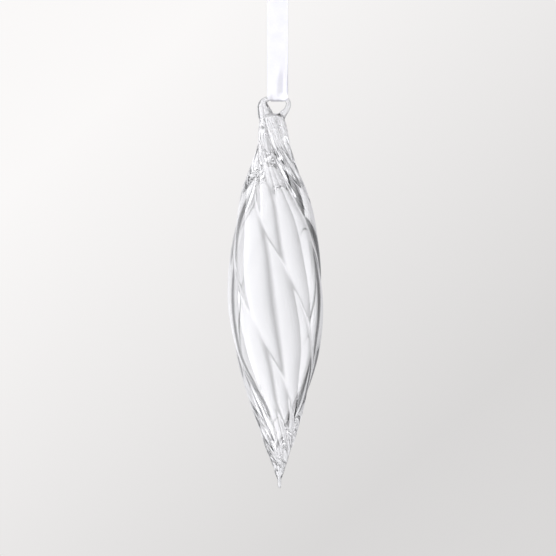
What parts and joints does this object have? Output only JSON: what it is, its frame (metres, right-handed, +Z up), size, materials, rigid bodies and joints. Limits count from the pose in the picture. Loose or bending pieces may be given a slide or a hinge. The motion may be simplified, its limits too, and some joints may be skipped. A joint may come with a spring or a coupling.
{
  "type": "icicle hanging ornament",
  "caption": "Hollow clear glass icicle ornament with twisted ribs and a glass eye, hanging on a loop of white satin ribbon.",
  "frame": {"origin": "hanging point: the inside of the ribbon loop's top, where a twig or hook bears", "axes": "+Z up along the hanging ornament, X along the glass eye's bar and across the ribbon, -Y to the front"},
  "size_m": [0.0409, 0.0408, 0.2281],
  "materials": {
    "clear_glass": "fire-polished clear blown glass",
    "satin_ribbon": "white satin"
  },
  "bodies": {
    "ribbon_top": {"ribbon_upper": "satin_ribbon", "ribbon_knot": "satin_ribbon", "ribbon_tail_left": "satin_ribbon", "ribbon_tail_right": "satin_ribbon"},
    "ribbon_fold": {"ribbon_lower": "satin_ribbon"},
    "glass": {"glass_body": "clear_glass", "hanging_eye": "clear_glass", "tip_drop": "clear_glass"}
  },
  "joints": [
    {"name": "ribbon_twist", "type": "hinge", "parent": "ribbon_top", "child": "ribbon_fold", "pos_m": [0, 0, -0.03], "axis": [0, 0, 1], "range_deg": [-180, 180]},
    {"name": "glass_swing", "type": "hinge", "parent": "ribbon_fold", "child": "glass", "pos_m": [0, 0, -0.056], "axis": [1, 0, 0], "range_deg": [-45, 45]}
  ]
}
